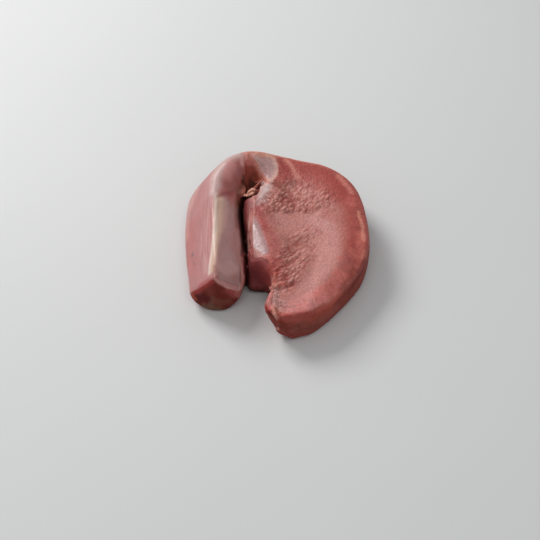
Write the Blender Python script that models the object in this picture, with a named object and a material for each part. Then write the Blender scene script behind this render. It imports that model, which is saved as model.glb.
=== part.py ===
"""A raw beef tongue that lies on its side, curled into a horseshoe. Metres, +Z up, origin under its middle.

The tongue is one body. It starts at the flat cut across the root, runs up a ridged root limb, turns back
on itself at a sharp bend, and opens into the broad blade, whose rough back faces up and whose end curls
round towards the cut again. A narrow slit is left between the two limbs, with a shred of tissue at its top.
"""

import math

import bmesh
import bpy
import numpy as np

MM = 0.001

# Ribs: straight lines across the tongue in plan, from its inner edge (on the slit) to its outer edge, in mm.
# They run in order from the cut end of the root limb, over the bend, to the end of the blade.
RIBS = [
    ((-25, -45), (-74, -43)),
    ((-22, -28), (-76, -22)),
    ((-24, -5), (-79, 2)),
    ((-26, 22), (-81, 32)),
    ((-28, 50), (-81, 60)),
    ((-28, 68), (-76, 87)),
    ((-26, 76), (-51, 103)),
    ((-23, 79), (-24, 118)),
    ((-20, 77), (6, 118)),
    ((-20, 69), (34, 111)),
    ((-22, 56), (60, 102)),
    ((-23, 42), (82, 78)),
    ((-23, 26), (91, 44)),
    ((-22, 8), (93.5, 10)),
    ((-21, -10), (88.5, -18)),
    ((-18, -24), (78, -37)),
    ((-9, -32), (64, -56)),
    ((0, -42), (50, -72)),
    ((-1, -56), (34, -85)),
    ((-5, -71), (14, -93)),
]
LAST_RIB = len(RIBS) - 1

# Places along the ribs, counted in ribs.
SHOULDER = (4.4, 7.0)  # the ridge leaves the middle of the limb and swings out to the back corner
TURN = (6.3, 8.4)  # the section of the root limb becomes that of the blade

# Heights, in mm above the flat underside.
RIDGE_HEIGHT = 47
ROOT_INNER_HEIGHT = 30
ROOT_OUTER_HEIGHT = 13
SHOULDER_INNER_HEIGHT = 38
BACK_CORNER_HEIGHT = 45
BLADE_INNER_HEIGHT = 39
BLADE_CREST_HEIGHT = 43.5
BLADE_VALLEY_HEIGHT = 35
BLADE_RIM_HEIGHT = 42
BLADE_OUTER_HEIGHT = 37
TIP_HEIGHT = 36

# How far, in mm, a side wall draws in from its widest line: at the inner and the outer side.
ROOT_FOOT = (4, 5)  # at the underside
BLADE_FOOT = (6, 3.5)
CUT_FOOT = (14, 16)  # more of it at the cut, where the underside is a keel
ROOT_LIP = (1.2, 0.8)  # at the top edge
BLADE_LIP = (7, 3.5)
BULGE_LIP = 5  # more of it where the blade's inner wall swells at the mouth of the slit
BULGE_RIB = 15

# How the side walls are curved: the power of the sine and cosine in a round and in a straight wall, and
# how far towards straight they are at the cut and, on the inner side, at the blade's end.
ROUND_WALL = 0.8
STRAIGHT_WALL = 2.0
CUT_SLANT = 0.25
TIP_SLANT = 0.7

# Places across a section, from the inner edge (0) to the outer edge (1).
RIDGE_SHARE = 0.5
BACK_RIDGE_SHARE = 0.93
CREST_SHARE = 0.12
VALLEY_SHARE = 0.44
RIM_SHARE = 0.82
RIDGE_ROUNDNESS = (1.1, 6)  # in mm, at the cut and at the shoulder

CUT_BOW = 8  # how far, in mm, the middle of the cut stands out past its sides
TIP_UNDERCUT = (3, 11)  # how far, in mm, the foot of the blade's end lies back: at its inner and outer side
TIP_CHIN = 11  # how far, in mm, the foot of its inner corner is drawn towards the outer side
TIP_SWELLING = 4.5

SHRED_SIZE = (6.5, 2.6, 3.4)
SHRED_PLACE = (-16, 79, 24.6)
SHRED_TURN = (0, math.radians(-12), math.radians(38))

# Mesh density.
ROWS = 88
TOP_STEPS = 25
WALL_STEPS = 4
UNDERSIDE_STEPS = 5
CAP_LOOPS = (0.93, 0.74, 0.48, 0.22)


def smooth(low, high, x):
    t = np.clip((x - low) / (high - low), 0, 1)
    return t * t * (3 - 2 * t)


def mix(a, b, share):
    return a + (b - a) * share


def spline(points, at):
    """Catmull-Rom through the points, at a position counted in points."""
    points = np.asarray(points, float)
    i = int(min(max(math.floor(at), 0), len(points) - 2))
    t = at - i
    before = points[i - 1] if i > 0 else 2 * points[0] - points[1]
    after = points[i + 2] if i + 2 < len(points) else 2 * points[-1] - points[-2]
    a, b = points[i], points[i + 1]
    return 0.5 * (
        2 * a + (b - before) * t + (2 * before - 5 * a + 4 * b - after) * t * t
        + (3 * a - before - 3 * b + after) * t**3
    )


def mound(x, y, centre, half_length, half_width, turn_deg):
    """A smooth mound of height 1 in plan, its long axis turned from +X."""
    turn = math.radians(turn_deg)
    along = (x - centre[0]) * math.cos(turn) + (y - centre[1]) * math.sin(turn)
    across = (y - centre[1]) * math.cos(turn) - (x - centre[0]) * math.sin(turn)
    return np.exp(-((along / half_length) ** 2) - (across / half_width) ** 2)


def cut_share(rib):
    """1 at the cut, where the underside is rounded up to the sides, to 0 where it lies flat."""
    return 1 - smooth(0, 2.6, rib)


def tip_share(rib):
    return smooth(LAST_RIB - 1.6, LAST_RIB, rib)


def root_top(rib, share):
    """The root limb's section: two slopes that meet in a ridge, sharp at the cut and round at the shoulder."""
    swing = smooth(*SHOULDER, rib)
    ridge_share = mix(RIDGE_SHARE, BACK_RIDGE_SHARE, swing)
    inner = mix(ROOT_INNER_HEIGHT, SHOULDER_INNER_HEIGHT, smooth(4.4, 6.6, rib)) - 3 * cut_share(rib)
    outer = mix(ROOT_OUTER_HEIGHT, BACK_CORNER_HEIGHT, smooth(4.7, 6.7, rib)) + 4 * cut_share(rib)
    roundness = mix(*RIDGE_ROUNDNESS, smooth(4.0, 5.8, rib))
    peak = RIDGE_HEIGHT + 0.7 * roundness  # what the rounding takes off again
    rise = mix(inner, peak, share / ridge_share)
    fall = mix(outer, peak, (1 - share) / (1 - ridge_share))
    return -roundness * np.logaddexp(-rise / roundness, -fall / roundness)


def blade_top(rib, share):
    """The blade's section: a crest along the slit, a broad valley, and a rounded rim. It evens out at the tip."""
    crest = mix(BLADE_CREST_HEIGHT, BLADE_INNER_HEIGHT, smooth(15, 17.5, rib))
    z = mix(BLADE_INNER_HEIGHT, crest, smooth(0, CREST_SHARE, share))
    z = mix(z, BLADE_VALLEY_HEIGHT, smooth(CREST_SHARE, VALLEY_SHARE, share))
    z = mix(z, BLADE_RIM_HEIGHT, smooth(VALLEY_SHARE, RIM_SHARE, share))
    z = mix(z, BLADE_OUTER_HEIGHT, smooth(RIM_SHARE, 1.04, share))
    return mix(z, TIP_HEIGHT, smooth(16.5, LAST_RIB, rib))


def hollow_depth(x, y):
    """The hollow behind the shoulder: steep beside the shoulder, and open below to the top of the slit."""
    steep_side = -24
    far_side = np.interp(y, (60, 68, 76, 84, 92, 104, 118), (-22, -13, -7, -4, -6, -15, -24))
    across = (x - steep_side) / (far_side - steep_side + 1)
    depth = np.interp(y, (60, 72, 82, 92, 102, 110, 118), (0, 15, 22, 21, 15, 7, 0))
    return depth * smooth(-0.12, 0.24, across) * smooth(1.12, 0.5, across)


def top_relief(x, y):
    """What the sections leave out: the hollow, the swellings round it, and the step and lumps of the rough back."""
    z = 4 * mound(x, y, (-36, 90), 17, 13, 60)
    z += 2.5 * mound(x, y, (-4, 106), 16, 10, -50)
    z -= hollow_depth(x, y)
    step_line = 37 + 4.5 * np.sin((x + 2) / 9.5)
    band = smooth(-9, 4, x) * smooth(72, 55, x) * smooth(-2, 2, y - step_line) * smooth(80, 50, y)
    z += 1.8 * band
    lumps = np.sin(x / 2.6 + 0.8 * np.sin(y / 5)) * np.sin(y / 2.8 + 0.8 * np.sin(x / 6))
    second_band = mound(x, y, (14, -8), 36, 9, 58)
    return z + 0.55 * lumps * (band + 0.8 * second_band)


def wall(height, widest, foot, lip, slant):
    """Half-section of a side wall, as (inset, z): from its foot out to its widest place and in to its top edge.
    It is round and full at slant 0, and leans straight out from its foot at slant 1."""
    squareness = mix(ROUND_WALL, STRAIGHT_WALL, slant)
    angles = np.linspace(0, math.pi / 2, WALL_STEPS + 1)
    sine, cosine = np.sin(angles) ** squareness, np.cos(angles).clip(0) ** squareness
    low = np.stack([foot * (1 - sine), widest * height * (1 - cosine)], 1)
    high = np.stack([lip * (1 - cosine), height * (widest + (1 - widest) * sine)], 1)
    return np.concatenate([low, high[1:]])


def rib_line(rib):
    """Inner end, width, direction across, and direction forward along the tongue, of the rib at this place."""
    inner, outer = spline([r[0] for r in RIBS], rib), spline([r[1] for r in RIBS], rib)
    width = np.linalg.norm(outer - inner)
    across = (outer - inner) / width
    return inner, width, across, np.array([across[1], -across[0]])


def section(rib):
    """The closed outline of the section at a rib, as (reach from the inner edge, z) in mm."""
    inner, width, across, _ = rib_line(rib)
    blade = smooth(*TURN, rib)
    keel = cut_share(rib)
    foot_inner, foot_outer = mix(np.array(ROOT_FOOT), np.array(BLADE_FOOT), blade) + np.array(CUT_FOOT) * keel
    foot_inner += TIP_CHIN * tip_share(rib)
    lip_inner, lip_outer = mix(np.array(ROOT_LIP), np.array(BLADE_LIP), blade)
    lip_inner += BULGE_LIP * math.exp(-(((rib - BULGE_RIB) / 1.2) ** 2)) - 2 * tip_share(rib)

    share = np.linspace(lip_inner / width, 1 - lip_outer / width, TOP_STEPS + 1)
    x, y = (inner + share[:, None] * width * across).T
    top = mix(root_top(rib, share), blade_top(rib, share), blade) + top_relief(x, y)

    widest_inner = mix(mix(0.42, 0.8, keel), mix(0.5, 0.85, tip_share(rib)), blade)
    inner_wall = wall(top[0], widest_inner, foot_inner, lip_inner, CUT_SLANT * keel + TIP_SLANT * tip_share(rib))
    outer_wall = wall(top[-1], mix(0.7, 0.6, blade), foot_outer, lip_outer, CUT_SLANT * keel)
    under = np.linspace(foot_inner, width - foot_outer, UNDERSIDE_STEPS + 1)[1:-1]
    reach = np.concatenate([under, width - outer_wall[:, 0], share[::-1][1:-1] * width, inner_wall[::-1, 0]])
    z = np.concatenate([0 * under, outer_wall[:, 1], top[::-1][1:-1], inner_wall[::-1, 1]])
    return np.stack([reach, z], 1)


def placed(rib, outline, ahead=0):
    """Stand an outline of (reach, z) up at its rib, bowed out at the cut and undercut at the tip."""
    inner, width, across, forward = rib_line(rib)
    reach, z = outline.T
    bow = -CUT_BOW * cut_share(rib) * (1 - (2 * reach / width - 1) ** 2)
    undercut = -mix(*TIP_UNDERCUT, smooth(0.2, 0.8, reach / width)) * (1 - z / TIP_HEIGHT).clip(0, 1) ** 1.3
    undercut *= tip_share(rib)
    plan = inner + reach[:, None] * across + (bow + undercut + ahead)[:, None] * forward
    return np.column_stack([plan, z])


def row_places():
    """Rib places of the rows, evenly spaced along the middle line between the inner and outer edges."""
    fine = np.linspace(0, LAST_RIB, 40 * LAST_RIB + 1)
    lines = [rib_line(rib) for rib in fine]
    middle = np.array([inner + 0.7 * width * across for inner, width, across, _ in lines])
    travelled = np.concatenate([[0], np.cumsum(np.linalg.norm(np.diff(middle, axis=0), axis=1))])
    return np.interp(np.linspace(0, travelled[-1], ROWS), travelled, fine)


def add_cap(mesh, ring, rib, ahead, flipped):
    """Close an open end with outlines that shrink towards its middle and swell ahead of the end rib."""
    outline = section(rib)
    middle = outline.mean(axis=0)
    for size in CAP_LOOPS:
        points = placed(rib, middle + (outline - middle) * size, ahead * (1 - size**3))
        verts = [mesh.verts.new(p) for p in points]
        join_rings(mesh, ring, verts, flipped)
        ring = verts
    centre = mesh.verts.new(placed(rib, middle[None], ahead)[0])
    for i, vert in enumerate(ring):
        face = (vert, ring[(i + 1) % len(ring)], centre)
        mesh.faces.new(face[::-1] if flipped else face)


def join_rings(mesh, first, second, flipped=False):
    for i in range(len(first)):
        j = (i + 1) % len(first)
        face = (first[i], first[j], second[j], second[i])
        mesh.faces.new(face[::-1] if flipped else face)


def meat_material():
    material = bpy.data.materials.new("raw_tongue")
    material.use_nodes = True
    shader = material.node_tree.nodes["Principled BSDF"]
    shader.inputs["Base Color"].default_value = (0.50, 0.22, 0.19, 1)
    shader.inputs["Roughness"].default_value = 0.38
    shader.inputs["Metallic"].default_value = 0
    return material


def new_object(name, mesh, collection):
    data = bpy.data.meshes.new(name)
    mesh.to_mesh(data)
    mesh.free()
    obj = bpy.data.objects.new(name, data)
    collection.objects.link(obj)
    return obj


def make_tongue(collection):
    """The loft over all rows, closed by the flat cut at the root and the blunt end of the blade."""
    mesh = bmesh.new()
    rings = [[mesh.verts.new(p) for p in placed(rib, section(rib))] for rib in row_places()]
    for first, second in zip(rings, rings[1:]):
        join_rings(mesh, first, second)
    add_cap(mesh, rings[0], 0, -1.0, flipped=True)
    add_cap(mesh, rings[-1], LAST_RIB, TIP_SWELLING, flipped=False)
    bmesh.ops.recalc_face_normals(mesh, faces=mesh.faces)
    bmesh.ops.triangulate(mesh, faces=mesh.faces)
    return new_object("beef_tongue", mesh, collection)


def add_shred(tongue, collection):
    """The small shred of tissue across the top of the slit, fused to the floor of the hollow."""
    mesh = bmesh.new()
    bmesh.ops.create_uvsphere(mesh, u_segments=12, v_segments=8, radius=1)
    shred = new_object("shred", mesh, collection)
    shred.scale = SHRED_SIZE
    shred.rotation_euler = SHRED_TURN
    shred.location = SHRED_PLACE
    union = tongue.modifiers.new("Shred", "BOOLEAN")
    union.operation = "UNION"
    union.object = shred
    bpy.context.view_layer.update()
    graph = bpy.context.evaluated_depsgraph_get()
    fused = bpy.data.meshes.new_from_object(tongue.evaluated_get(graph))
    tongue.modifiers.clear()
    tongue.data = fused
    bpy.data.objects.remove(shred, do_unlink=True)


def main():
    for obj in list(bpy.data.objects):
        bpy.data.objects.remove(obj, do_unlink=True)
    collection = bpy.data.collections.new("beef tongue")
    bpy.context.scene.collection.children.link(collection)

    tongue = make_tongue(collection)
    add_shred(tongue, collection)
    corners = np.array([v.co for v in tongue.data.vertices])
    middle = (corners.min(axis=0) + corners.max(axis=0)) / 2
    for vert in tongue.data.vertices:
        vert.co = ((vert.co.x - middle[0]) * MM, (vert.co.y - middle[1]) * MM, vert.co.z * MM)
    tongue.data.materials.append(meat_material())
    tongue.data.shade_smooth()


main()
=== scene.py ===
"""A raw beef tongue, curled on its side on a pale table top.

Sizes are in millimetres and are turned into metres by MM. Places on the meat are measured from AIM, the
point on the table that the camera looks at: x to the right, y away from the camera, z up. A line is a list of
places, with z where it lies on the skin, and without z where it stands for a wall over its plan.
"""

import math

import bpy
import numpy as np
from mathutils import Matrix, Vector, noise
from mathutils.bvhtree import BVHTree


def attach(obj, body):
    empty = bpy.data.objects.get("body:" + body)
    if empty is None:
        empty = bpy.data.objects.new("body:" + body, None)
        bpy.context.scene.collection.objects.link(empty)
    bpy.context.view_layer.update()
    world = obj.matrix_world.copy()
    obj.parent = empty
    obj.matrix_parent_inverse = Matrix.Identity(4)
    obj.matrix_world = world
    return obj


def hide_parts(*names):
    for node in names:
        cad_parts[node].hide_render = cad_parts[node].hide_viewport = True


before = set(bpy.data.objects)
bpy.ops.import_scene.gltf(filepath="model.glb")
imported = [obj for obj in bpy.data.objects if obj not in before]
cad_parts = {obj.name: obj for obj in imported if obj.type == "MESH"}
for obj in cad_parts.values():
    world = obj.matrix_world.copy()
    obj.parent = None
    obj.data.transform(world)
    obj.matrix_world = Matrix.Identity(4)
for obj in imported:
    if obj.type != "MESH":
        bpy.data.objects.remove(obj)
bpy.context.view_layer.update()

MM = 0.001

bpy.ops.object.select_all(action="DESELECT")
bpy.context.scene.view_settings.view_transform = "Standard"


# The view: a long lens, from in front and well above the table, so that the rough back of the blade,
# the ridge of the root and the cut across it all show.
AIM = Vector((-6.06, -13.68, 0)) * MM
CAMERA_HEIGHT = 1026 * MM
LOOKING_DOWN = math.radians(47.79)

bpy.ops.object.camera_add(
    location=AIM + Vector((0, -CAMERA_HEIGHT / math.tan(LOOKING_DOWN), CAMERA_HEIGHT)),
    rotation=(math.pi / 2 - LOOKING_DOWN, 0, 0),
)
camera = bpy.context.object
camera.name = "view"
camera.data.lens = 97.68
camera.data.sensor_width = 36
camera.data.clip_start = 0.01
bpy.context.scene.camera = camera


# The light: one large soft box behind and to the left, which gives the wet crest its white glare,
# a weak one over the camera, and a little light from all round.
def add_soft_box(name, place, width, watts):
    bpy.ops.object.light_add(type="AREA", location=AIM + Vector(place))
    lamp = bpy.context.object
    lamp.name = name
    lamp.data.size = width
    lamp.data.energy = watts
    lamp.rotation_euler = (-Vector(place)).to_track_quat("-Z", "Y").to_euler()


add_soft_box("window_light", (-0.87, 0.88, 1.08), 0.7, 17.5)
add_soft_box("fill_light", (0.1, -0.7, 1.5), 1.2, 4)

world = bpy.data.worlds.new("room")
world.use_nodes = True
world.node_tree.nodes["Background"].inputs["Color"].default_value = (0.95, 0.97, 1.0, 1)
world.node_tree.nodes["Background"].inputs["Strength"].default_value = 0.42
bpy.context.scene.world = world


# The table top: a plain board, larger than the view, with a coat of pale matt paint. The tongue's flat side
# lies on it. It isn't part of the tongue.
TABLE_SIDE = 8000 * MM
UNDER_MEAT = 0.2 * MM

bpy.ops.mesh.primitive_plane_add(size=TABLE_SIDE, location=(0, 0, -UNDER_MEAT))
table_top = bpy.context.object
table_top.name = "table_top"


def new_material(name, **settings):
    """A material of one shader, with these inputs set, as (material, nodes, links, shader)."""
    material = bpy.data.materials.new(name)
    material.use_nodes = True
    shader = material.node_tree.nodes["Principled BSDF"]
    for setting, value in settings.items():
        shader.inputs[setting.replace("_", " ")].default_value = value
    return material, material.node_tree.nodes, material.node_tree.links, shader


def feed(socket, value):
    """Give a socket a number, or link another socket to it."""
    if hasattr(value, "links"):
        links.new(value, socket)
    else:
        socket.default_value = value


def add_node(kind, **inputs):
    node = nodes.new(kind)
    for name, value in inputs.items():
        feed(node.inputs[name], value)
    return node


paint, nodes, links, shader = new_material("pale_paint", Roughness=0.65, Specular_IOR_Level=0.3)
where = nodes.new("ShaderNodeTexCoord").outputs["Object"]
blotches = add_node("ShaderNodeTexNoise", Vector=where, Scale=3)
ramp = add_node("ShaderNodeValToRGB", Fac=blotches.outputs["Fac"])
ramp.color_ramp.elements[0].color = (0.66, 0.66, 0.65, 1)
ramp.color_ramp.elements[1].color = (0.70, 0.70, 0.69, 1)
links.new(ramp.outputs["Color"], shader.inputs["Base Color"])
table_top.data.materials.append(paint)


# The tongue: one muscle. A limb with a ridge runs from the cut across the root to a sharp bend, and the
# broad blade comes back beside it. The fine surface is worked into a copy of the solid.
SKIN_STEP = 1.4 * MM

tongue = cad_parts["beef_tongue"].copy()
tongue.data = tongue.data.copy()
tongue.name = "tongue_flesh"
tongue.parent = None
bpy.context.scene.collection.objects.link(tongue)


def take(piece):
    """Make the piece the only selected one, and the active one."""
    bpy.ops.object.select_all(action="DESELECT")
    piece.select_set(True)
    bpy.context.view_layer.objects.active = piece


def finish_modifier(piece, kind, **settings):
    modifier = piece.modifiers.new(kind.title(), kind)
    for setting, value in settings.items():
        setattr(modifier, setting, value)
    take(piece)
    bpy.ops.object.modifier_apply(modifier=modifier.name)


take(tongue)
bpy.ops.object.mode_set(mode="EDIT")
bpy.ops.mesh.select_all(action="SELECT")
bpy.ops.mesh.remove_doubles(threshold=0.01 * MM)
bpy.ops.mesh.tris_convert_to_quads()
bpy.ops.object.mode_set(mode="OBJECT")
bpy.ops.mesh.customdata_custom_splitnormals_clear()
finish_modifier(tongue, "SUBSURF", levels=1, render_levels=1)
finish_modifier(tongue, "REMESH", mode="VOXEL", voxel_size=SKIN_STEP)
finish_modifier(tongue, "SMOOTH", factor=0.5, iterations=8)


def places(piece):
    """The piece's vertices, in mm from AIM."""
    flat = np.zeros(len(piece.data.vertices) * 3)
    piece.data.vertices.foreach_get("co", flat)
    return (flat.reshape(-1, 3) - np.array(AIM)) / MM


def facings(piece):
    """The normals of the piece's vertices."""
    flat = np.zeros(len(piece.data.vertices) * 3)
    piece.data.vertex_normals.foreach_get("vector", flat)
    return flat.reshape(-1, 3)


def move_to(piece, points):
    flat = (points * MM + np.array(AIM)).ravel()
    piece.data.vertices.foreach_set("co", flat)
    piece.data.update()


def smooth(low, high, x):
    t = np.clip((x - low) / (high - low), 0, 1)
    return t * t * (3 - 2 * t)


def line_distance(points, line):
    """Distance of each point to the line through the given places. A line with only x and y is a wall."""
    line = np.asarray(line, float)
    points = points[:, :line.shape[1]]
    nearest = np.full(len(points), 1e9)
    for start, end in zip(line, line[1:]):
        step = end - start
        along = np.clip((points - start) @ step / (step @ step), 0, 1)
        nearest = np.minimum(nearest, np.linalg.norm(points - start - along[:, None] * step, axis=1))
    return nearest


def near(points, line, reach, core=0.0):
    """1 within core of the line, fading to 0 at reach."""
    return 1 - smooth(core, reach, line_distance(points, line))


def patch(points, outline, edge=1.5):
    """1 inside an outline that is seen from above, fading to 0 over edge mm outside it."""
    outline = np.asarray(outline, float)
    x, y = points[:, 0], points[:, 1]
    inside = np.zeros(len(points), bool)
    for (x0, y0), (x1, y1) in zip(outline, np.roll(outline, -1, axis=0)):
        crosses = (y0 > y) != (y1 > y)
        inside ^= crosses & (x < x0 + (x1 - x0) * (y - y0) / np.where(crosses, y1 - y0, 1))
    distance = line_distance(points, np.vstack([outline, outline[:1]]))
    return np.where(inside, 1.0, 1 - smooth(0, edge, distance))


def ripple(points, size, seed):
    """Smooth noise from -1 to 1, with waves about this long. The size may differ along x, y and z."""
    scaled = points / np.asarray(size, float) + seed * 17.3
    return np.array([noise.noise(p) for p in scaled])


def soften(piece, weights, rounds):
    """Even out the surface where the weights are high."""
    group = piece.vertex_groups.new(name="soft")
    for tenths in range(1, 11):
        members = np.flatnonzero((weights * 10).round() == tenths)
        group.add(members.tolist(), tenths / 10, "REPLACE")
    finish_modifier(piece, "SMOOTH", factor=0.5, iterations=rounds, vertex_group="soft")
    piece.vertex_groups.clear()


def choose_faces(piece, chosen):
    """Go into edit mode with only these faces selected."""
    take(piece)
    bpy.ops.object.mode_set(mode="EDIT")
    bpy.ops.mesh.select_mode(type="FACE")
    bpy.ops.mesh.select_all(action="DESELECT")
    bpy.ops.object.mode_set(mode="OBJECT")
    piece.data.polygons.foreach_set("select", chosen)
    bpy.ops.object.mode_set(mode="EDIT")


def face_places(piece):
    """The middles and the normals of the piece's faces."""
    middles = np.zeros(len(piece.data.polygons) * 3)
    normals = np.zeros(len(piece.data.polygons) * 3)
    piece.data.polygons.foreach_get("center", middles)
    piece.data.polygons.foreach_get("normal", normals)
    return (middles.reshape(-1, 3) - np.array(AIM)) / MM, normals.reshape(-1, 3)


# Lines and areas that the relief, the colours or both follow. Each place was measured on the meat.
# On the blade: where the rough band starts and ends, the wrinkled area, and the front edge.
STEP_LINE = [(-14, 44), (-6, 36), (-4, 35), (9, 38), (19, 41), (28, 42), (38, 40), (47, 41), (56, 43),
             (66, 50)]
BACK_LINE = [(-14, 68), (0, 76), (14, 88), (29, 92), (43, 86), (57, 74), (68, 62)]
WRINKLED = [(10, -45, 38), (16, -32, 37), (23, -16, 36), (30, 0, 35), (37, 12, 35)]
FRONT_EDGE = [(10, -87, 36), (20, -89, 36), (36, -82, 37), (54, -67, 36), (73, -43, 38), (83, -22, 40)]

# On the limb: the ridge, the groove under the shoulder, and the crease at the bend.
FASCIA = [(-38, 96, 50), (-44, 91, 50), (-50, 83, 48.5), (-53.5, 72, 47.5), (-53, 60, 46), (-50.5, 46, 45),
          (-50.5, 25, 46), (-51.5, 5, 47), (-53, -12, 46), (-55, -29, 44), (-55, -38, 43), (-53, -47, 44)]
SHOULDER_GROOVE = [(-48.4, 53, 44), (-42.4, 60, 40), (-36.4, 64, 37), (-33.4, 70, 36), (-29.4, 73, 37)]
BEND_CREASE = [(-25, 115, 44), (-24, 107, 44), (-23, 103, 38), (-23, 97, 35)]

# On the crest beside the slit: its pale edge, the lip over the slit, the glossy corner and the wet facet.
CREST_EDGE = [(-17, 62), (-15.4, 53), (-14.4, 38), (-15.3, 29), (-16.2, 15), (-16.2, 0), (-15, -11),
              (-12.6, -20)]
SLIT_EDGE = [(-19.5, 26), (-20.3, 17), (-20.1, 4), (-17.1, -12), (-15, -19)]
GLOSSY_CORNER = [(-3, 74), (-4.5, 66), (-6, 58), (-8, 50)]
FACET = [(-15, 28), (-16, 15), (-15.8, 0), (-14.5, -6), (-10.5, -13.5), (-6, -16.5), (-1.5, -15),
         (-3.8, -5), (-7, 6), (-11, 19)]

# At the notch and the tip: lips, lobes, folds and the creases between them.
NOTCH_LIP = [(1.5, -52.5, 34), (2.6, -49, 36.5), (4.3, -46, 38), (5, -41, 39)]
NOTCH_LOBE = [(4, -52, 36.5), (8.5, -53, 38), (13, -51.5, 37.3)]
NOTCH_CREASE = [(3, -56, 36.5), (8, -57.5, 37.5), (13, -55.5, 37), (18, -53, 36), (21, -49, 35)]
TIP_LOBE = [(0, -61, 34), (-2, -67, 34), (-2.5, -73, 34), (-2, -78, 32)]
TIP_CREASE = [(4, -58, 36.5), (1.8, -63, 36), (1.3, -68, 36), (2.2, -73, 36)]
TIP_FOLD = [(2.6, -78.5, 36), (4.2, -83, 35), (6.6, -86, 32), (8.6, -87, 26), (9.9, -87, 18)]
LEFT_OF_FOLD = [(-0.3, -79.5, 32), (2.5, -83.5, 31), (4.6, -86, 28.5), (6.4, -87, 24)]
RIGHT_OF_FOLD = [(6.5, -79, 36), (8.5, -84, 34), (10.5, -87, 29), (11.5, -87, 22)]

# At the bend: the hollow, the grey membrane, the pit, and the fold on the pit's left.
HOLLOW = [(-25, 104), (-19, 110), (-16, 104), (-12.5, 98), (-8, 91), (-7, 82), (-10, 74), (-12, 66),
          (-16, 58), (-22, 58), (-27, 66), (-27, 78), (-24, 90)]
MEMBRANE = [(-16.5, 110), (-10.5, 108), (-2, 107), (3, 106), (5.5, 99), (3, 92.5), (1, 87), (-2.5, 86),
            (-7, 95), (-10.5, 100.5)]
PIT = [(-26, 57.5), (-18, 57.5), (-14.5, 59.5), (-12.3, 65), (-12, 74), (-15, 80), (-26, 80)]
PIT_FOLD = [(-28, 77.5, 30.5), (-28, 71.5, 30.5)]

# The solid is evened out: most over the shoulder and its ridge, and a little all over except at the cut and
# the foot.
skin = places(tongue)
shoulder = near(skin, [(-38, 92, 44), (-44, 82, 42), (-46, 66, 42)], 30, 20) * (skin[:, 2] > 22)
shoulder *= smooth(-24, -28, skin[:, 0]) * smooth(50, 62, skin[:, 1])
soften(tongue, shoulder, rounds=60)
soften(tongue, near(skin, [(-53, 60, 46), (-53, 72, 47), (-50, 84, 47)], 12, 4) * 0.999, rounds=25)
soften(tongue, smooth(4, 8, skin[:, 2]) * smooth(-46, -40, skin[:, 1]) * 0.999, rounds=8)

# The flat underside needs few faces, and what the relief is worked into needs twice as fine a mesh.
middle, normal = face_places(tongue)
choose_faces(tongue, (middle[:, 2] < 5) & (normal[:, 2] < -0.75))
bpy.ops.mesh.decimate(ratio=0.12)
bpy.ops.object.mode_set(mode="OBJECT")
middle, normal = face_places(tongue)
fine = (middle[:, 0] > -24) & (middle[:, 2] > 25) & (normal[:, 2] > 0.35)
fine |= (line_distance(middle, FASCIA) < 7) & (normal[:, 2] > 0)
fine |= (np.maximum(patch(middle, HOLLOW, 4), patch(middle, PIT, 4)) > 0.1) & (middle[:, 2] > 16)
fine |= (middle[:, 0] < 20) & (middle[:, 1] < -34) & (middle[:, 0] > -4) & (middle[:, 2] > 8)
fine |= (middle[:, 0] < -24) & (middle[:, 1] < -43) & (middle[:, 2] > 3)
fine |= (line_distance(middle, SLIT_EDGE) < 6) & (middle[:, 2] > 28)
choose_faces(tongue, fine)
bpy.ops.mesh.subdivide(number_cuts=1)
bpy.ops.object.mode_set(mode="OBJECT")
finish_modifier(tongue, "SMOOTH", factor=0.5, iterations=4)

# Larger forms. The crest stands further out over the slit by the glossy corner and further back by the facet,
# where a plane cuts it off. The plane is given by its height over (-16, 5) and its slopes.
FACET_HEIGHT, FACET_SLOPE_X, FACET_SLOPE_Y = 38.5, 0.42, 0.14
FACET_ROUNDING = 0.8

skin = places(tongue)
slit_y = (-18, -10, -3, 4, 10, 23, 36, 46, 56, 66, 73)
slit_wider = np.interp(skin[:, 1], slit_y, (0, 1.2, 2.4, 3.3, 3.2, 0.8, -1.6, -3.2, -3.6, -2, 0))
slit_wider *= smooth(-25.5, -23, skin[:, 0]) * smooth(-2, -14, skin[:, 0])
skin[:, 0] += slit_wider * smooth(12, 24, skin[:, 2])
facet_height = FACET_HEIGHT + FACET_SLOPE_X * (skin[:, 0] + 16) + FACET_SLOPE_Y * (skin[:, 1] - 5)
facet_zone = smooth(40, 32, skin[:, 1]) * smooth(-26, -18, skin[:, 1]) * smooth(5, 1, skin[:, 0])
facet_zone *= (skin[:, 2] > 28) & (skin[:, 0] > -25)
too_high = FACET_ROUNDING * np.logaddexp(0, (skin[:, 2] - facet_height) / FACET_ROUNDING)
skin[:, 2] -= too_high * facet_zone

# The front edge of the blade: on the left it lies behind the foot of its wall, on the right it is lower and
# juts out.
edge_x = (2, 8, 15, 22, 32, 42, 54, 70, 85, 96)
edge_back = np.interp(skin[:, 0], edge_x, (0, 3.2, 4.2, 4.0, 2.4, 0.6, -1.0, -1.6, -1.2, 0))
edge_drop = np.interp(skin[:, 0], edge_x, (0, 0, 0, 0.4, 1.4, 2.6, 3.6, 4.6, 4.2, 0))
foot_out = np.interp(skin[:, 0], edge_x, (0, 0.8, 1.6, 1.6, 0.6, 0, 0, 0, 0, 0))
by_edge = near(skin, [place[:2] for place in FRONT_EDGE], 17, 3)
skin[:, 1] += edge_back * by_edge * np.interp(skin[:, 2], (4, 14, 22, 28, 34), (0, 0.12, 0.36, 0.64, 1))
skin[:, 1] -= foot_out * by_edge * smooth(20, 8, skin[:, 2])
skin[:, 2] -= edge_drop * near(skin, FRONT_EDGE, 20, 1) * smooth(20, 36, skin[:, 2])
move_to(tongue, skin)

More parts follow.
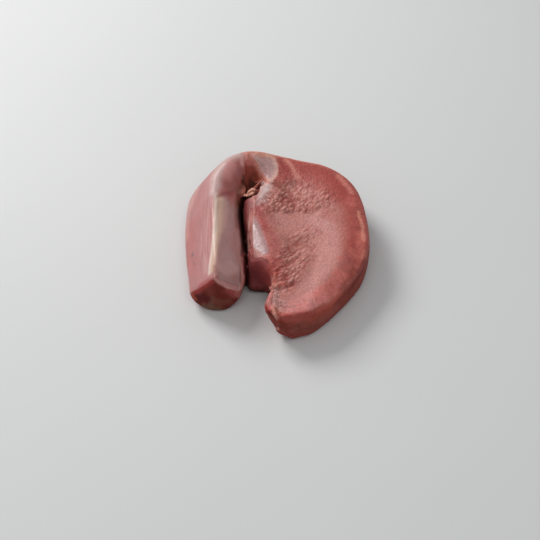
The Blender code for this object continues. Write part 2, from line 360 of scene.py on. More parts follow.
# The pit goes on round the corner of the blade. The foot of the belly beside the slit swells out on the left
# and is drawn in towards the notch, and the tip's foot is drawn in on its left.
PIT_FLOOR = 27

skin = places(tongue)
skin[:, 2] -= np.maximum(skin[:, 2] - PIT_FLOOR, 0) * patch(skin, PIT, 3)
belly_x = (-25, -22, -17, -14.5, -12, -7, -3, 0, 5, 9)
belly_y = np.interp(skin[:, 0], belly_x, (0, -3, -6, -4.5, -2, 3, 8, 9, 6, 0))
on_belly = near(skin, [(-19, -20), (-12, -27), (-5, -33), (1, -40)], 12, 7) * smooth(22, 8, skin[:, 2])
skin[:, 1] += belly_y * on_belly * (0.6 + 0.4 * smooth(0, 5, skin[:, 2]))
belly_left = near(skin, [(-19.5, -14), (-18, -24)], 9, 5) * smooth(22, 8, skin[:, 2])
skin[:, 0] -= 2.8 * belly_left * smooth(-22.8, -21, skin[:, 0])
skin[:, 0] += 3.5 * near(skin, [(0, -83, 24), (2.5, -84, 16)], 8, 2)
foot_push = near(skin, [(6, -84, 5), (9, -85, 4)], 8, 2)
skin[:, 0] -= 2.5 * foot_push
skin[:, 1] -= 1.2 * foot_push
move_to(tongue, skin)

# The shoulder is full. Low down, the sides of the slit swell until they press on each other.
SLIT_MIDDLE = [(-25, 92), (-26, 66), (-23, 10), (-19, -32)]
WIDEST_GAP = 7
CLEAR_OF_SKIN = 0.3
PRESSED_IN = 0.4

up = facings(tongue)
lift = 1.0 * near(skin, [(-36, 92, 46), (-40, 82, 44), (-43, 72, 43)], 18, 6) * (skin[:, 2] > 30)
in_slit = smooth(92, 84, skin[:, 1]) * smooth(-28, -18, skin[:, 1])
in_slit *= smooth(27, 15, skin[:, 2] + np.interp(skin[:, 1], (56, 72), (0, 9)))
in_slit *= smooth(0.5, 3, skin[:, 2]) * (line_distance(skin, SLIT_MIDDLE) < 9)
in_slit *= np.abs(up[:, 0]) > 0.4
other_side = BVHTree.FromPolygons((skin * MM).tolist(), [face.vertices[:] for face in tongue.data.polygons])
for i in np.flatnonzero(in_slit > 0.01):
    across = math.copysign(1, up[i, 0])
    start = Vector(skin[i] * MM) + Vector((across * CLEAR_OF_SKIN * MM, 0, 0))
    gap = other_side.ray_cast(start, Vector((across, 0, 0)), WIDEST_GAP * MM)[3]
    if gap is not None:
        lift[i] += in_slit[i] * (gap / MM / 2 + PRESSED_IN)
skin = skin + up * lift[:, None]
move_to(tongue, skin)

# Where the skin is rough, glossy or wrinkled.
skin = places(tongue)
up = facings(tongue)
on_top = smooth(0.15, 0.6, up[:, 2]) * (skin[:, 2] > 24)
step_y = np.interp(skin[:, 0], *zip(*STEP_LINE)) + 2.0 * ripple(skin, 8, 31) + 1.6 * ripple(skin, 4, 32)
back_y = np.interp(skin[:, 0], *zip(*BACK_LINE))
rough = smooth(-16, -8, skin[:, 0]) * smooth(76, 60, skin[:, 0]) * smooth(-3, 2, skin[:, 1] - step_y)
rough *= smooth(8, -30, skin[:, 1] - back_y) * on_top
corner = near(skin, GLOSSY_CORNER, 8.5, 0.5) * on_top
rough *= 1 - 0.9 * corner
wrinkled = near(skin, WRINKLED, 21, 8) * on_top * smooth(-4, 4, skin[:, 0])
wrinkled *= 0.55 + 0.45 * smooth(0, -25, skin[:, 1])


def bumps(points, size, lean, stretch, seed):
    """Rounded bumps packed side by side, which lean by this many degrees from x and are stretched that way.

    Gives each point's height and its bump's own random number, both from 0 to 1.
    """
    turn = math.radians(lean)
    wander = np.column_stack([ripple(points, 5, seed), ripple(points, 5, seed + 1), points[:, 2] * 0])
    bent = points + 0.9 * wander
    along = (bent[:, 0] * math.cos(turn) + bent[:, 1] * math.sin(turn)) / (size * stretch)
    across = (bent[:, 1] * math.cos(turn) - bent[:, 0] * math.sin(turn)) / size
    heights = np.zeros(len(points))
    own = np.zeros(len(points))
    for i, spot in enumerate(zip(along, across, points[:, 2] / (3 * size) + seed)):
        distances, centres = noise.voronoi(spot)
        dome = max(0.0, 1 - (distances[0] / 0.8) ** 2)
        heights[i] = dome * (0.45 + 0.55 * min(1.0, (distances[1] - distances[0]) / 0.4))
        own[i] = noise.cell(centres[0] * 7.3)
    return heights, own % 1.0


# The rough band: blunt papillae about 3 mm across, highest at its front edge, where they end in a step.
relief = np.zeros(len(skin))
chosen = rough > 0.01
height, own = bumps(skin[chosen], size=3.7, lean=58, stretch=1.7, seed=3)
small_height, small_own = bumps(skin[chosen], size=1.9, lean=70, stretch=1.3, seed=9)
relief[chosen] = height * (0.5 + 0.9 * own) + 0.25 * small_height * (0.3 + small_own) - 0.42
relief *= rough
front_rows = smooth(26, 2, skin[:, 1] - step_y)
lift = relief * (1.3 + 0.7 * front_rows)
lift += 0.8 * rough * front_rows * ripple(skin, 6, 4)
from_step = np.column_stack([skin[:, 0], skin[:, 1] - step_y])
lift += 0.7 * near(from_step, [(-10, 3.5), (60, 3.5)], 5) * rough
lift -= 0.35 * near(from_step, [(-8, -1), (56, -1)], 4) * on_top

# The wrinkled area runs on down to the notch, with longer folds that lean to the right.
chosen = wrinkled > 0.01
height, own = bumps(skin[chosen], size=3.1, lean=46, stretch=2.5, seed=5)
folds = (height * (0.5 + 0.9 * own) - 0.4) * wrinkled[chosen]
relief[chosen] += folds
lift[chosen] += folds * 1.6

# Fine grain of the skin, all over the blade, and slow swells all over.
grain = ripple(skin, 1.7, 6)
lift += 0.2 * grain * on_top * (skin[:, 0] > -16)
lift += 0.40 * ripple(skin, 24, 1) + 0.16 * ripple(skin, 9, 2)

# Small forms along the lines: their height or depth, the line, how far they reach, and their flat middle.
crest = smooth(30, 33, skin[:, 2])
LEFT_OF_FACET = [(-17.5, 40), (-18, 20), (-18, 2), (-16.3, -12)]
for height, line, reach, core, mask in (
    (-0.6, SHOULDER_GROOVE, 4.0, 0.5, 1),
    (-0.3, BEND_CREASE, 2.6, 0, 1),
    (0.35, FASCIA[5:8], 2.2, 0, 1),
    (0.5, CREST_EDGE, 1.2, 0, crest * smooth(22, 30, skin[:, 1])),
    (-0.5, LEFT_OF_FACET, 1.5, 0, crest),
    (0.9, SLIT_EDGE, 1.4, 0, crest),
    (0.8, [(-13, -20), (-9, -22.5), (-4.5, -22)], 1.4, 0, crest),
    (1.3, NOTCH_LIP, 2.8, 0.3, 1),
    (1.8, [(1.2, -53, 34), (1.0, -53.5, 33)], 2.2, 0.3, 1),
    (1.2, NOTCH_LOBE, 3.2, 0.4, 1),
    (-1.3, NOTCH_CREASE, 2.2, 0.3, 1),
    (-0.9, TIP_CREASE, 1.8, 0.2, 1),
    (1.4, TIP_LOBE, 5, 1.2, 1),
    (1.5, TIP_FOLD, 2.9, 0.5, 1),
    (-1.5, LEFT_OF_FOLD, 2.0, 0.2, 1),
    (-1.0, RIGHT_OF_FOLD, 3.4, 0.6, 1),
    (0.9, [(-22.5, 111, 45), (-21.5, 107, 42)], 2.4, 0.5, 1),
    (4.2, PIT_FOLD, 5, 1.5, 1),
    (-0.5, [(9, -77), (18, -83), (30, -82)], 4, 0, on_top),
):
    lift += height * near(skin, line, reach, core) * mask

# The cut: the flesh bulges a little in bands, and the skin turns in round it.
cut = smooth(-43.5, -46.5, skin[:, 1] + 0.06 * (skin[:, 0] + 50)) * (skin[:, 0] < -15)
cut_face = cut * smooth(-0.35, -0.75, up[:, 1])
lift += 0.35 * cut_face * ripple(skin, (5, 20, 12), 8)

LOWEST = 0.05

skin = skin + up * lift[:, None]
skin[:, 2] = np.maximum(skin[:, 2], LOWEST)
move_to(tongue, skin)
take(tongue)
bpy.ops.object.shade_smooth()


# The colours of raw meat, fat and skin, in sRGB. They are painted on by place, each over those before it.
def tint(red, green, blue):
    """sRGB from 0 to 255 to linear."""
    value = np.array([red, green, blue]) / 255
    return np.where(value <= 0.04045, value / 12.92, ((value + 0.055) / 1.055) ** 2.4)


BLADE_PINK = (188, 124, 113)
BLADE_RED = (163, 69, 61)
BLADE_SHEEN = (194, 132, 126)
VALLEY_SHADE = (146, 82, 72)
RIM_HIGHLIGHT = (245, 173, 146)
FACE_PINK = (178, 115, 113)
FACE_RED = (181, 103, 98)
MAUVE = (165, 118, 113)
SHOULDER_MAUVE = (166, 95, 89)
SHOULDER_PALE = (199, 168, 162)
FASCIA_WHITE = (232, 212, 199)
CREAM = (208, 170, 148)
SHADED_MUSCLE = (108, 37, 29)
CUT_RED = (166, 66, 62)
CUT_FAT = (111, 80, 63)
ORANGE = (178, 84, 60)
HOLLOW_RED = (170, 88, 74)
HOLLOW_SHADE = (92, 50, 40)
SHADED_WALL_BROWN = (138, 60, 50)
SLIT_SHADE = (40, 12, 10)
BULGE_MAUVE = (124, 54, 54)
PATCH_GREY = (192, 152, 146)
VEIN = (122, 92, 92)
LIP_ORANGE = (185, 88, 69)

worn = skin + 1.2 * np.column_stack([ripple(skin, 6, 11), ripple(skin, 6, 12), ripple(skin, 6, 13)])
x, y, z = skin.T
colour = np.tile(tint(*BLADE_PINK), (len(skin), 1))


def wash(weights, pigment, strength=1.0):
    """Lay a pigment over the colours so far, where the weights are high."""
    global colour
    share = (np.clip(weights, 0, 1) * strength)[:, None]
    colour = colour * (1 - share) + tint(*pigment) * share


def dab(line, reach, core, pigment, strength=1.0, mask=1.0, points=skin):
    """Wash a pigment along a line: fully within core of it, and fading out at reach."""
    wash(near(points, line, reach, core) * mask, pigment, strength)


def blot(*settings):
    """A dab with a worn edge."""
    dab(*settings, points=worn)


# The blade: red round the rim and on the crest, painted paler on the rises as painted sheen and light, and
# brown in the hollows between as painted shade. A fan of fine hairs runs out over the glossy corner.
blot([(20, 104), (46, 96), (66, 82), (78, 60), (82, 35), (83, 8), (82, -8)], 26, 5, BLADE_RED, 0.85)
blot([(84, -2), (78, -28), (66, -48), (48, -66), (32, -76)], 17, 3, BLADE_RED, 0.75)
blot([(9, 100), (14, 94), (17, 86)], 11, 3, (118, 44, 38), 0.6)
blot([(10, 92), (24, 94), (50, 82), (66, 62)], 22, 5, BLADE_RED, 0.75)
blot([(-13, 44), (-9, 30), (-4, 14), (0, 0), (4, -14), (4, -28)], 13, 4, (178, 96, 89), 0.85)
blot([(-13, 38), (-9, 27), (-6, 14)], 7, 2, (154, 62, 56), 0.75)
blot([(-7, 31), (0, 32)], 6, 1, (154, 70, 62), 0.5)
blot([(2, -28), (7, -36), (12, -42)], 8, 2, (176, 84, 76), 0.6)
# Painted sheen and light on the rises.
blot([(6, 30), (18, 26), (30, 24), (44, 22)], 16, 4, BLADE_SHEEN, 0.6)
blot([(46, 30), (55, 8), (54, -18), (46, -43), (30, -70), (12, -76)], 14, 4, BLADE_SHEEN, 0.65)
blot([(52, 38), (60, 28)], 8, 3, (178, 100, 92), 0.45)
blot([(63, -36), (59, -47)], 7, 2, (198, 112, 106), 0.45)
blot([(38, -16), (35, -28), (32, -40), (24, -48)], 8, 2, (140, 78, 70), 0.5)
# Painted light: paler on the slope down to the front edge, which turns away from the light.
blot([(22, -79), (44, -68)], 13, 5, (226, 146, 140), 0.75, smooth(0.2, 0.5, up[:, 2]))
blot([(46, -66), (56, -57), (66, -44)], 11, 3, (220, 122, 112), 0.6, smooth(0.1, 0.5, up[:, 2]))
# Painted light: paler where the rim slopes away from the light.
blot([(76, -14), (83, -14), (85, 8)], 8, 2, (206, 112, 100), 0.6)
blot([(66, -53), (72, -43), (77, -32)], 5, 1.5, (138, 54, 42), 0.6)
# Painted highlight on the back of the rim.
blot([(66, 86), (72, 76), (78, 64)], 5, 1, (214, 132, 118), 0.6)
# Painted shade in the valley.
blot([(15, 5), (24, 0), (30, 2)], 10, 1, VALLEY_SHADE, 0.4)
blot([(28, -42), (30, -58), (20, -66)], 12, 4, (168, 102, 96), 0.5)
blot([(18, -7), (14, -15)], 6, 2, (118, 54, 48), 0.38)
blot([(5, 24), (0, 32)], 6, 2, (146, 72, 64), 0.35)
blot([(76, 54), (77, 48)], 7, 2, (202, 108, 96), 0.5)
blot([(12, 64), (16, 72), (20, 80)], 10, 2, (118, 62, 52), 0.6)
blot([(4, 81), (11, 77)], 7, 2, (124, 58, 50), 0.65)
blot([(12, 52), (18, 60)], 8, 2, (132, 62, 53), 0.4)
blot([(14, 55), (19, 48), (28, 47), (38, 42)], 7, 2, (146, 71, 61), 0.4)
blot([(9, 71), (12, 62)], 6, 2, (114, 52, 41), 0.55)
blot([(37, 11), (28, 6)], 6, 2, (142, 82, 74), 0.35)
# Painted highlight along the right rim, and painted rim light where the back edge faces away.
blot([(83.5, 38), (86, 22), (87, 2)], 3.2, 0.2, RIM_HIGHLIGHT, 0.4, on_top)
wash(smooth(0.25, 0.6, up[:, 1]) * smooth(70, 84, y) * smooth(20, 34, z), RIM_HIGHLIGHT, 0.5)
dab([(-21, 48), (-16, 44), (-12, 50)], 8, 3, (160, 84, 80), 0.7, z > 30)
# Painted highlight: a whitish sheen over the glossy corner, on top of its wetness, and a smaller one on the
# crest beside it.
wash(corner * (0.75 + 0.5 * ripple(skin, (3, 8, 3), 91)), (226, 204, 200), 0.85)
dab([(-12.3, 48, 43.4), (-11.5, 45, 43.4)], 4, 1, (222, 196, 190), 0.45)
fan_x, fan_y = x + 16, y - 66
fan = np.column_stack([np.arctan2(fan_y, fan_x) * 22, np.hypot(fan_y, fan_x) / 9, x * 0])
hairs = near(skin, [(0, 60), (-3, 52), (-8, 47), (-12, 46)], 7, 3) * on_top
wash(hairs * smooth(0.42, 0.12, np.abs(ripple(fan, (1.9, 0.8, 2), 77))), (142, 78, 72), 0.75)
blot([(5, 62), (6, 70)], 6, 2, (196, 128, 118), 0.7, on_top)
frayed = skin + 1.5 * np.column_stack([ripple(skin, (2.5, 1.1, 3), 44), ripple(skin, 2, 45), x * 0])
on_facet = patch(frayed, FACET, 1.8) * (z > 32)
on_facet *= 1 - 0.9 * near(frayed, [(-13.4, -12), (-10.4, -15.4)], 3, 1.2)
wash(on_facet, (152, 114, 114), 0.8)
dab([(-15.2, 20), (-15.2, 8), (-14.8, -1)], 1.3, 0.3, (228, 198, 196), 0.6, z > 35)
dab([(-18, 26), (-18, 2), (-16.3, -12)], 1.3, 0.4, (150, 76, 70), 0.45, z > 31)
edge_share = smooth(22, 30, y) * (0.7 + 0.6 * ripple(skin, 4, 92))
dab(CREST_EDGE, 1.2, 0.3, (216, 164, 152), 0.6, (z > 32) * edge_share)
dab(SLIT_EDGE, 1.3, 0.4, (218, 160, 150), 0.75, z > 29)

# Relief: bump tops are painted paler as painted highlight, and the creases between them redder and darker as
# painted shade.
wash(smooth(0.05, 0.7, relief), (208, 150, 140), 0.5)
wash(smooth(0.0, -0.3, relief), (142, 50, 44), 0.6)

# The root's limb: pink outside, mauve inside, with the pale fascia and a cream strip along its ridge.
behind = smooth(106, 116, y)
limb = smooth(-21 + 2 * behind, -25 - 16 * behind, x + 0.02 * np.abs(y))
ridge_x = np.interp(y, (-50, -30, 0, 50, 72, 90, 112), (-52, -54, -51, -51, -52, -44, -30))
left_side = smooth(0.5 + 3 * smooth(50, 60, y), -1.0 - 3 * smooth(50, 60, y), x - ridge_x)
wash(limb, MAUVE)
blot([(-37, 36), (-40, 10), (-40, -20)], 12, 3, (172, 128, 126), 0.6, limb)
blot([(-30, 40), (-31, 0), (-30, -40)], 7, 1, (160, 104, 96), 0.6, limb)
on_shoulder = smooth(52, 60, y + 0.9 * (x + 44))
blot([(-40, 92), (-38, 76), (-34, 74)], 28, 12, SHOULDER_MAUVE, 1, limb * on_shoulder)
blot([(-40, 66), (-36, 72)], 9, 1, (150, 84, 80), 0.6, limb)
wash(limb * left_side, FACE_PINK)
blot([(-76, 40), (-77, 10), (-74, -20)], 9, 2, FACE_RED, 0.5, limb * left_side)
SHOULDER_TOP = [(-28, 112, 46), (-40, 100, 48), (-48.5, 88, 47), (-53, 76, 47), (-52.5, 60, 46)]
dab(SHOULDER_TOP, 11, 2, SHOULDER_PALE, 0.85, limb)
outer = near(skin, [(-72, 88, 26), (-76, 76, 19), (-79, 64, 15), (-81, 46, 12), (-80, 30, 12)], 10, 1)
outer *= 0.6 + 0.6 * ripple(skin, (6, 30, 3), 93)
wash(limb * outer, (218, 184, 170), 0.5)
dab([(-48, 60, 44), (-43, 65, 42)], 4.5, 1, (186, 100, 95), 0.45, limb)
UNDER_SHOULDER = [(-50, 50, 45), (-47.5, 57, 43), (-44, 60.5, 41), (-38.3, 64, 38), (-33.5, 68.5, 36)]
dab(UNDER_SHOULDER, 3.4, 0.6, (164, 74, 72), 0.6, limb)
by_ridge = limb * left_side * near(skin, [(-57, 78), (-59, 50), (-60, 10), (-61, -10)], 9, 2)
wash(by_ridge * smooth(-0.4, 0.6, ripple(skin, (1.3, 40, 3), 72)), (212, 172, 168), 0.35)
wash(limb * (1 - left_side) * smooth(-0.1, 0.6, ripple(skin, (8, 22, 8), 71)), (166, 132, 132), 0.5)
strip_width = np.interp(y, (-46, -30, 0, 20, 52), (2.0, 2.2, 2.7, 3.5, 3.7))
strip_x = np.interp(y, (-46, -38, -14, 0, 16, 45, 54), (-53.3, -52.6, -50.8, -49.3, -47.7, -47.6, -47.2))
on_strip = limb * smooth(2.1, 0.2, np.abs(x - strip_x) / strip_width)
wash(on_strip * smooth(61, 50, y) * smooth(-46, -41, y), CREAM, 0.9)
WHITE_LINE = [(-52, 60, 46), (-51.2, 44, 46), (-50.8, 15, 46.4), (-51.5, -2, 45.8), (-52.4, -13, 44.6),
              (-54.4, -34, 40.8), (-54.4, -41, 40.4)]
dab(WHITE_LINE, 3.6, 0.8, FASCIA_WHITE, 0.55, smooth(62, 50, y))
blot([(-41, -37), (-35, -30)], 9, 3, (190, 148, 142), 0.6, limb)
dab([(-50.3, -37, 45.8), (-50, -43, 46)], 3, 1, (150, 98, 88), 0.5)
blot([(-59.8, -18, 35.5), (-58.5, -34, 36.5)], 6, 0.5, (214, 176, 170), 0.3)
blot([(-42, 50), (-42.5, 18)], 4.5, 1, (194, 148, 138), 0.5, limb)
dab([(-31.5, 57, 33), (-30, 25, 33)], 4.5, 1, (116, 62, 58), 0.6, limb)
blot([(-42, 81), (-37, 90)], 8, 2, (196, 134, 130), 0.6, limb)
blot([(-28, 88), (-30, 79)], 6, 2, (142, 60, 56), 0.55, limb)
blot([(-26, 97, 45), (-26, 93, 44)], 4, 1, (176, 96, 90), 0.7)
# Painted shade: the limb's side of the slit is painted near black below its top edge.
slit_side = np.interp(y, (5, 24, 40, 60), (-26.2, -27.8, -29.8, -29.8))
wash(limb * smooth(-2.5, 0.3, x - slit_side) * smooth(36, 34, z) * smooth(64, 60, y), SLIT_SHADE, 0.9)
blot([(-73, 1), (-72, -3)], 1.6, 0.4, VEIN, 0.8)
blot([(-71, -12), (-70, -16)], 1.3, 0.3, VEIN, 0.6)

# The cut across the root: dark muscle, partly its own colour and partly painted shade, a wedge of fat at the
# bottom, and a pale rim of skin, painted paler than its own colour as painted light, with a painted highlight
# along its edge.
wash(cut_face, SHADED_MUSCLE)
ragged = skin + 2.5 * np.column_stack([ripple(skin, (3, 3, 14), 81), x * 0, ripple(skin, (3, 9, 9), 82)])
dab([(-38, -49, 30), (-30, -48, 20)], 8, 1, (170, 82, 78), 0.8, cut_face, ragged)
dab([(-54, -50, 34), (-54, -50, 20)], 6, 1, (132, 62, 52), 0.6, cut_face, ragged)
dab([(-73, -45, 16), (-62, -48, 31), (-53, -50, 42)], 6, 1.5, CUT_RED, 0.85, cut_face)
dab([(-60, -52, 4), (-54, -53, 7), (-47, -53, 3)], 8, 1, CUT_FAT, 0.9, cut_face, ragged)
dab([(-54, -53, 12), (-53, -53, 20)], 4, 0.5, CUT_FAT, 0.6, cut_face, ragged)
dab([(-65, -48, 14), (-58, -50, 19)], 8, 2, (84, 15, 11), 0.85, cut_face, ragged)
dab([(-72, -45, 15), (-69, -46, 12)], 4, 1, ORANGE, 0.7, cut_face)
dab([(-38, -50.5, 15), (-36, -50, 9)], 5, 1, (126, 68, 60), 0.5, cut_face, ragged)
dab([(-50, -53, 16), (-41, -52, 13)], 6, 2, (124, 76, 60), 0.45, cut_face, ragged)
dab([(-64, -46.5, 30), (-59, -48, 36), (-55, -49, 41)], 3.6, 1.2, (160, 64, 62), 0.65)
dab([(-52.5, -49, 44), (-48, -49.5, 45.6)], 3, 1, (162, 84, 80), 0.6)
# Painted light over the cut's right arm: the skin there is painted paler than its own mauve, and a thin
# painted highlight runs along the arm's edge.
arm_z = np.interp(x, (-50, -47, -43, -40, -36, -33, -29), (44, 39.5, 36.5, 33.5, 31, 28.5, 24.5))
over_arm = cut_face * smooth(-53, -49, x)
wash(over_arm * smooth(-3, 0, z - arm_z), (150, 84, 80), 0.8)
wash(over_arm * smooth(-0.5, 1.2, z - arm_z), (196, 142, 138), 0.85)
dab([(-29.5, -47.5, 24), (-28, -46, 17)], 5, 2, (176, 100, 94), 0.7)
wash(over_arm * smooth(1.3, 0.3, np.abs(z - arm_z)) * smooth(-44, -38, x), (216, 158, 152), 0.7)
dab([(-28, -44, 29), (-28, -47, 27)], 2.2, 0.8, SHOULDER_PALE, 0.6)

# The sides of the blade and the slit. The sides are brown, partly the meat's own colour and partly painted
# shade, and the slit is painted near black as painted shade.
wall = smooth(0.35, 0.0, up[:, 2]) * np.where(y > 100, 1 - limb, x > -24)
wash(wall, SHADED_WALL_BROWN)
bulge = wall * (up[:, 0] < 0.3) * smooth(8, 2, x) * (y < 40) * (y > -50)
UNDER_FACET = [(-24, 3), (-18.8, -1), (-16.5, -10), (-13, -18), (-6, -25.5), (-1.5, -31), (0, -39), (-2, -48),
               (-24, -48)]
under_facet = patch(worn, UNDER_FACET, 3.5) * (z > 16)
wash(under_facet, (142, 60, 58), 0.9)
bulge = np.maximum(bulge, under_facet * smooth(-5, -13, x) * smooth(-13, -21, y + 0.5 * (x + 13)))
on_foot = near(skin, [(-19, -24), (-12, -30), (-5, -32), (1, -38)], 13, 9) * smooth(26, 20, z)
bulge = np.maximum(bulge, on_foot * smooth(-23.4, -22.6, x) * smooth(3, 1, x))
wash(bulge, BULGE_MAUVE)
dab([(-5, -33, 36), (-2, -38, 28), (-1, -40, 18)], 9, 2, (136, 56, 54), 0.8, bulge)
dab([(-19, 56, 36), (-19, 40, 37), (-20, 20, 36)], 9, 3, BLADE_RED, 0.8, wall)
# Painted shade: the depths of the slit and the gap at its bottom are painted near black.
SLIT = [(-24, 74), (-23, 10), (-21, -32)]
slit_core = np.where(y > -11, near(skin, SLIT, 9, 4), near(skin, SLIT, 3.4, 1))
deep = smooth(31.5, 28, z + np.interp(y, (15, 35), (0, 6))) * slit_core * smooth(0.97, 0.6, up[:, 2])
deep = np.maximum(deep, smooth(30, 28, z) * near(skin, SLIT, 6, 3) * (y > -11))
deep *= 1 - 0.9 * smooth(-21.6, -20.6, x) * smooth(27, 21, y) * smooth(-14, -4, y) * (up[:, 0] < -0.2)
wash(deep * np.where(y > -11, 1, 0.7), SLIT_SHADE)
in_gap = near(skin, [(-24, 60), (-23.3, 17), (-22, -4)], 2.2, 1.2) * smooth(29.5, 27.5, z)
wash(in_gap, SLIT_SHADE)
dab([(-20.3, 19, 28), (-19, 14, 31), (-18, 12, 34), (-18, 3, 32)], 4.5, 2, (204, 138, 132), 0.75,
    up[:, 0] < -0.2)
dab([(-11, -28.6, 37), (-7.3, -30.7, 39), (-9, -27.5, 41), (-4.6, -28.6, 42.4)], 5, 2, (112, 36, 36), 0.4)
# Painted shade low on the belly, where it hangs over the table; the paler dab after it is painted light in
# the shade between the belly and the blade.
wash(bulge * smooth(13, 3, z), (58, 16, 14), 0.85)
dab([(-7.4, -31.3, 12.5), (-3.7, -32.1, 12), (-2, -29.8, 6)], 6, 2, (158, 76, 72), 0.5, bulge)
lit_x = x - 2.2 * smooth(-28, -36, y)
lit_side = near(skin, [(-25.8, -14, 31), (-25.8, -44, 26)], 4, 2) * smooth(-24, -25.5, lit_x)
wash(limb * lit_side, (206, 146, 136), 0.35 + 0.45 * smooth(-16, -34, y))
dab([(-24, -33, 28), (-24.6, -41, 26)], 3.2, 1, (198, 128, 120), 0.5)
# Painted shade: the blade's flank down into the slit, darker towards the slit, with darker dabs deeper in.
flank = smooth(-16.5, -23.5, x) * (x > -25) * smooth(15, 24, y) * smooth(66, 58, y) * (z > 20)
wash(flank, (96, 34, 32), 0.85)
dab([(-21.5, 52, 40), (-20, 46, 41), (-20, 40, 40), (-22, 35, 37.6)], 5.5, 1.5, (122, 42, 42), 0.7, z > 31)
dab([(-23.2, 54, 35), (-23, 48, 38), (-24, 40, 35)], 3.5, 1, (92, 28, 28), 0.55, z > 31)

# The hollow at the bend, and the grey membrane beside it.
in_hollow = patch(worn, HOLLOW) * smooth(42.5, 39, z)
wash(in_hollow, HOLLOW_RED)
wash(in_hollow * smooth(0.1, 0.7, ripple(skin, (1.6, 1.6, 9), 51)), (150, 84, 72), 0.4)
# Painted shade: the hollow darkens towards its bottom.
wash(in_hollow * smooth(33, 22, z + 1.5 * ripple(skin, 5, 52)), HOLLOW_SHADE, 0.95)
dab([(-25, 98, 36), (-25, 90, 32), (-24, 84, 28)], 5, 2, (120, 56, 46), 0.5)
dab([(-22, 106, 40), (-17.5, 105.6, 38.8)], 5, 2, (214, 130, 122), 0.75)
dab([(-14, 99, 24), (-11, 95, 27), (-8, 93, 31)], 5, 2, (176, 88, 70), 0.75)
# Painted shade: the pit darkens towards its bottom.
wash(patch(skin, PIT) * smooth(40, 34, z), HOLLOW_SHADE, 0.9)
dab([(-12, 60, 38), (-10, 67, 38), (-9, 73, 37)], 4, 1.5, (128, 52, 46), 0.8)
dab([(-26, 85, 39), (-25.5, 82, 34), (-24.5, 82, 28)], 4.5, 1.5, (84, 44, 34), 0.9)
dab(PIT_FOLD, 6.5, 4.5, (182, 112, 98), 0.9, smooth(-28.5, -26.5, x))
OLIVE_LINE = [(-27.5, 76.5, 34.5), (-29, 72.4, 34.6), (-30.5, 67, 33), (-31, 60, 32), (-30.6, 54.4, 31)]
dab(OLIVE_LINE, 3.6, 0.8, (112, 60, 34), 0.75)
dab([(-25, 110, 45), (-24.5, 103, 42), (-24.5, 98, 38)], 2.6, 0.6, (184, 108, 100), 0.6)
dab([(-24.3, 109, 44.5), (-26, 102, 45.7), (-27, 97, 45.7)], 4.5, 1.5, (226, 162, 154), 0.75)
dab([(-22.5, 112, 45), (-21.5, 107.5, 42)], 2.6, 0.6, (222, 144, 124), 0.7)
dab([(-8, 89.5, 28), (-5.8, 83, 32.5), (-5, 78, 35)], 3.5, 1, (226, 186, 178), 0.8)
on_membrane = patch(worn, MEMBRANE) * (z > 33)
MEMBRANE_RIM = [(-2, 108.5), (2, 107), (5.6, 100.5), (5.4, 95), (2.6, 89), (0, 84)]
blot(MEMBRANE_RIM, 4.2, 1, (224, 184, 170), 0.8, z > 32)
wash(on_membrane, PATCH_GREY, 0.9)
blot([(-9, 104), (-5, 98), (-3, 93)], 5, 1, (164, 120, 118), 0.35, on_membrane)
blot([(-13, 110.5), (-4, 110), (3, 108)], 3.5, 1, (188, 132, 114), 0.6)
blot([(-18, 108), (-13, 101.5), (-9, 96), (-4, 88), (-1, 83)], 1.8, 0.3, (196, 128, 110), 0.65, z > 30)
for vein in (
    [(-15, 110), (-6, 107), (0, 100), (0, 90)],
    [(-12, 105), (-5, 99), (-2, 89)],
    [(-10, 110), (0, 106), (3, 98)],
):
    blot(vein, 2.0, 0, VEIN, 0.3, on_membrane)
blot([(16, 106), (22, 97), (27, 86)], 4, 0.5, (222, 150, 132), 0.5, on_top)

# The tip: an orange-pink lip over the notch, grey veins below it, brown creases beside the fold.
blot([(1.5, -36), (5, -39)], 6, 2, (158, 62, 56), 0.7, on_top)
blot(NOTCH_LIP, 3.2, 0.5, LIP_ORANGE, 0.7)
blot(NOTCH_LOBE, 3.0, 0.5, LIP_ORANGE, 0.6)
blot(NOTCH_LOBE[1:], 3.2, 1, (170, 70, 60), 0.45)
blot(NOTCH_CREASE, 2.2, 0.6, (120, 44, 40), 0.8)
veined = near(worn, [(5, -59), (4.5, -67), (7, -72), (13, -76), (19, -80)], 6, 2) * on_top
wash(veined, (196, 144, 135), 0.7)
wash(veined * smooth(0.26, 0.04, np.abs(ripple(skin, 2.2, 61))), (114, 60, 58), 0.75)
blot(TIP_CREASE, 1.6, 0.3, (104, 44, 42), 0.7)
blot([(6, -71), (9, -73.5), (13, -77.5)], 2.2, 0.6, (122, 70, 64), 0.5, on_top)
blot([(13, -79), (20, -76), (28, -71)], 6, 2, (178, 104, 96), 0.5, on_top)
blot([(14, -59), (12, -56.5)], 5, 2, (214, 142, 134), 0.5, on_top)
dab(TIP_LOBE, 5, 1.5, (204, 114, 110), 0.85)
dab([(-3.2, -74.5, 33), (-2.7, -77.4, 34), (0, -80.7, 33)], 4.5, 1.5, (142, 40, 34), 0.9)
dab([(-1, -80, 29), (3, -84, 24)], 6, 2, (118, 44, 34), 0.85)
dab(TIP_FOLD, 2.4, 0.6, (222, 140, 122), 0.85, smooth(32.5, 35, z))
dab(TIP_FOLD, 2.4, 0.6, (122, 50, 38), 0.8, smooth(35, 32.5, z))
dab([(-2.9, -70, 35.4), (-2.7, -73, 35.4)], 3, 1, (164, 110, 106), 0.5)
dab([(-0.9, -75.5, 35.9), (0.4, -78, 35.4)], 2.6, 0.8, (218, 122, 114), 0.7)
dab(LEFT_OF_FOLD, 1.8, 0.5, (96, 34, 26), 0.8)
dab(RIGHT_OF_FOLD, 3.2, 0.8, (140, 68, 44), 0.75)
